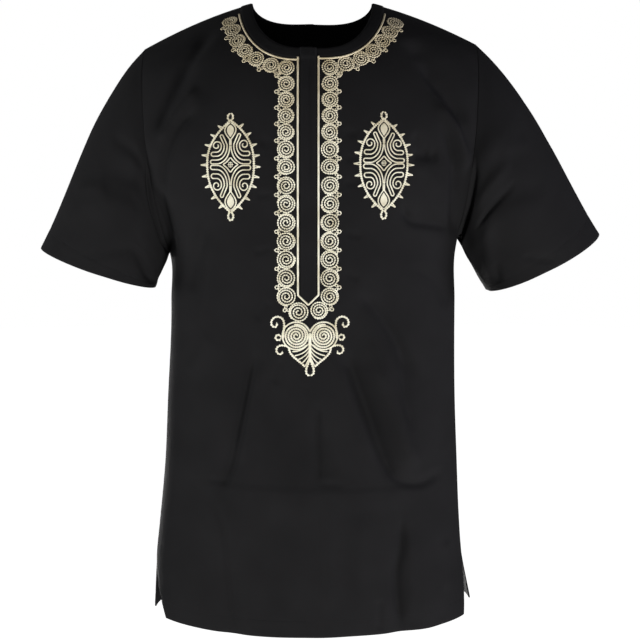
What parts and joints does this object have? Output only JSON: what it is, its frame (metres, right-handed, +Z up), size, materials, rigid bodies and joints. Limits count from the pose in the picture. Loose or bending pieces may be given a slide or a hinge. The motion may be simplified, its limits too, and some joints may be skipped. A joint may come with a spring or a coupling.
{
  "type": "embroidered tunic shirt",
  "caption": "Short-sleeved tunic shirt, filled out and hollow, with an embroidered neck, placket and chest, open neck, cuffs and hem, and side slits.",
  "frame": {"origin": "midway between the neck ends of the two shoulder seams, where the wearer's shoulders hold the shirt", "axes": "+Z up, the front faces -Y, +X towards the wearer's left sleeve"},
  "size_m": [0.7106, 0.2972, 0.7869],
  "materials": {
    "black_cotton": "near-black plain-weave cotton with a faint sheen",
    "gold_thread": "pale gold embroidery thread with a soft shine"
  },
  "bodies": {
    "root": {"front": "black_cotton", "back": "black_cotton", "sleeve_left": "black_cotton", "sleeve_right": "black_cotton", "neckband_front": "black_cotton", "neckband_back": "black_cotton", "placket": "black_cotton", "line_front": "gold_thread", "line_back": "gold_thread", "rosettes_left": "gold_thread", "rosettes_right": "gold_thread", "medallion_left": "gold_thread", "medallion_right": "gold_thread", "pendant": "gold_thread"}
  },
  "joints": []
}
